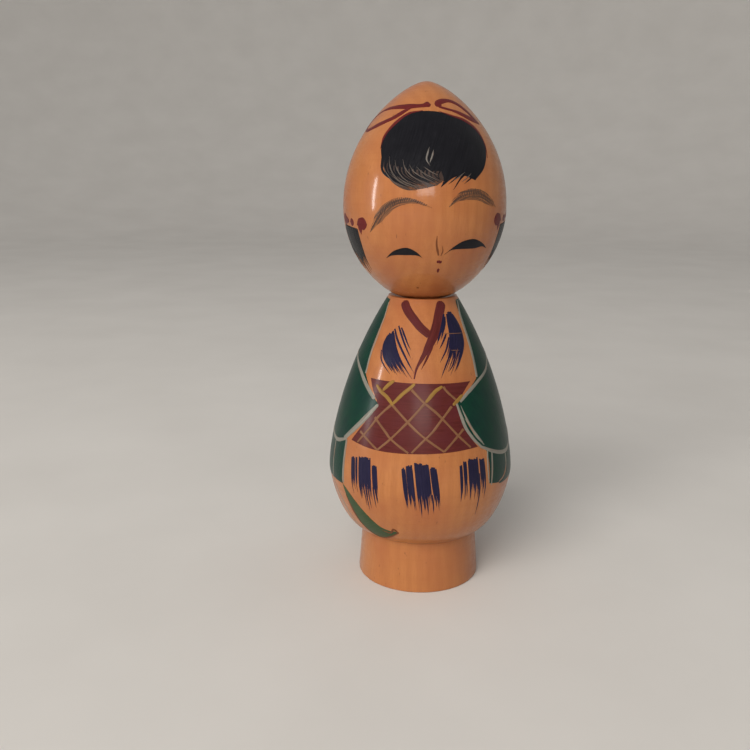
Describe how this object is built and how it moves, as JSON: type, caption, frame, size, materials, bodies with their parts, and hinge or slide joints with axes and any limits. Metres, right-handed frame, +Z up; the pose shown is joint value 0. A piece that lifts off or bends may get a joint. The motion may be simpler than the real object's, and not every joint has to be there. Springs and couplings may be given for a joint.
{
  "type": "kokeshi doll",
  "caption": "Turned wooden doll with an egg-shaped head that turns on a dowel, a bell-shaped body painted as a kimono under a coat, and a flared round foot.",
  "frame": {"origin": "centre of the foot's flat underside", "axes": "+Z up through the head, the doll's front faces -Y, +X to its left hand"},
  "size_m": [0.0436, 0.0436, 0.115],
  "materials": {
    "lacquered_wood": "turned pale wood under amber-tinted satin lacquer",
    "bare_wood": "unfinished dowel",
    "green_paint": "brushed paint under satin lacquer",
    "maroon_paint": "brushed paint under satin lacquer",
    "indigo_paint": "dry-brushed paint under satin lacquer",
    "black_paint": "brushed ink under satin lacquer",
    "white_paint": "brushed paint under satin lacquer",
    "gold_paint": "brushed ochre paint under satin lacquer"
  },
  "bodies": {
    "body": {"body": "lacquered_wood", "neck_dowel": "bare_wood"},
    "head": {"head": "lacquered_wood"}
  },
  "joints": [
    {"name": "head_turn", "type": "hinge", "parent": "body", "child": "head", "pos_m": [0, 0, 0.0678], "axis": [0, 0, 1], "continuous": true}
  ]
}
